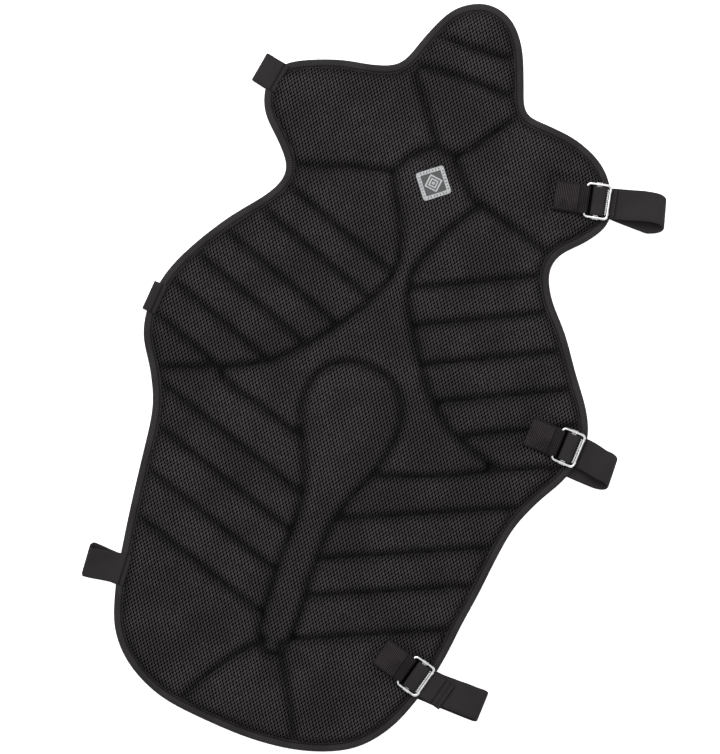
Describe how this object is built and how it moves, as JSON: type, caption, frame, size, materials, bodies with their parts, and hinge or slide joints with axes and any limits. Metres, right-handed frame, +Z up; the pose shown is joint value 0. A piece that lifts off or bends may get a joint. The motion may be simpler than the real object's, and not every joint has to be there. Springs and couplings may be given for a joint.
{
  "type": "chest protector",
  "caption": "Quilted foam chest protector with a mesh face, bound edge and elastic straps that close in wire buckles at its side.",
  "frame": {"origin": "on the surface it lies on, under the middle of the whole object's box", "axes": "+Y towards the neck end, +X towards the buckles, +Z up out of the mesh face, with the panel lying flat on its straps"},
  "size_m": [0.4298, 0.665, 0.0144],
  "materials": {
    "mesh_cover": "matte",
    "lining": "matte",
    "binding_tape": "matte",
    "foam": "matte",
    "elastic": "matte",
    "webbing": "matte",
    "thread": "satin",
    "nickel": "polished",
    "badge_plate": "satin"
  },
  "bodies": {
    "panel": {"back_lining": "lining", "front_mesh_cover": "mesh_cover", "edge_binding": "binding_tape", "badge": "badge_plate", "neck_foam": "foam", "left_shoulder_foam": "foam", "right_shoulder_foam": "foam", "left_chest_foam": "foam", "right_chest_foam": "foam", "centre_foam": "foam", "spine_foam": "foam", "left_belly_foam": "foam", "right_belly_foam": "foam", "left_hem_foam": "foam", "right_hem_foam": "foam", "centre_hem_foam": "foam", "top_strap": "elastic", "middle_strap": "elastic", "bottom_strap": "elastic", "top_anchor": "webbing", "middle_anchor": "webbing", "bottom_anchor": "webbing", "anchor_stitching": "thread", "tail_stitching": "thread", "strap_end_stitching": "thread"},
    "top_buckle": {"top_buckle_frame": "nickel", "top_grip_comb": "nickel"},
    "top_bar": {"top_slide_bar": "nickel"},
    "middle_buckle": {"middle_buckle_frame": "nickel", "middle_grip_comb": "nickel"},
    "middle_bar": {"middle_slide_bar": "nickel"},
    "bottom_buckle": {"bottom_buckle_frame": "nickel", "bottom_grip_comb": "nickel"},
    "bottom_bar": {"bottom_slide_bar": "nickel"}
  },
  "joints": [
    {"name": "top_buckle_hinge", "type": "hinge", "parent": "panel", "child": "top_buckle", "pos_m": [0.12079, 0.19637, 0.01155], "axis": [0.1564, -0.9877, 0], "range_deg": [0, 40], "deforming": ["top_strap"]},
    {"name": "top_bar_slide", "type": "slide", "parent": "top_buckle", "child": "top_bar", "axis": [0.9877, 0.1564, 0], "range_m": [0, 0.0025]},
    {"name": "middle_buckle_hinge", "type": "hinge", "parent": "panel", "child": "middle_buckle", "pos_m": [0.16017, -0.01026, 0.01155], "axis": [-0.0872, -0.9962, 0], "range_deg": [0, 40], "deforming": ["middle_strap"]},
    {"name": "middle_bar_slide", "type": "slide", "parent": "middle_buckle", "child": "middle_bar", "axis": [0.9962, -0.0872, 0], "range_m": [0, 0.0025]},
    {"name": "bottom_buckle_hinge", "type": "hinge", "parent": "panel", "child": "bottom_buckle", "pos_m": [0.09437, -0.23432, 0.01155], "axis": [-0.309, -0.9511, 0], "range_deg": [0, 40], "deforming": ["bottom_strap"]},
    {"name": "bottom_bar_slide", "type": "slide", "parent": "bottom_buckle", "child": "bottom_bar", "axis": [0.9511, -0.309, 0], "range_m": [0, 0.0025]}
  ]
}
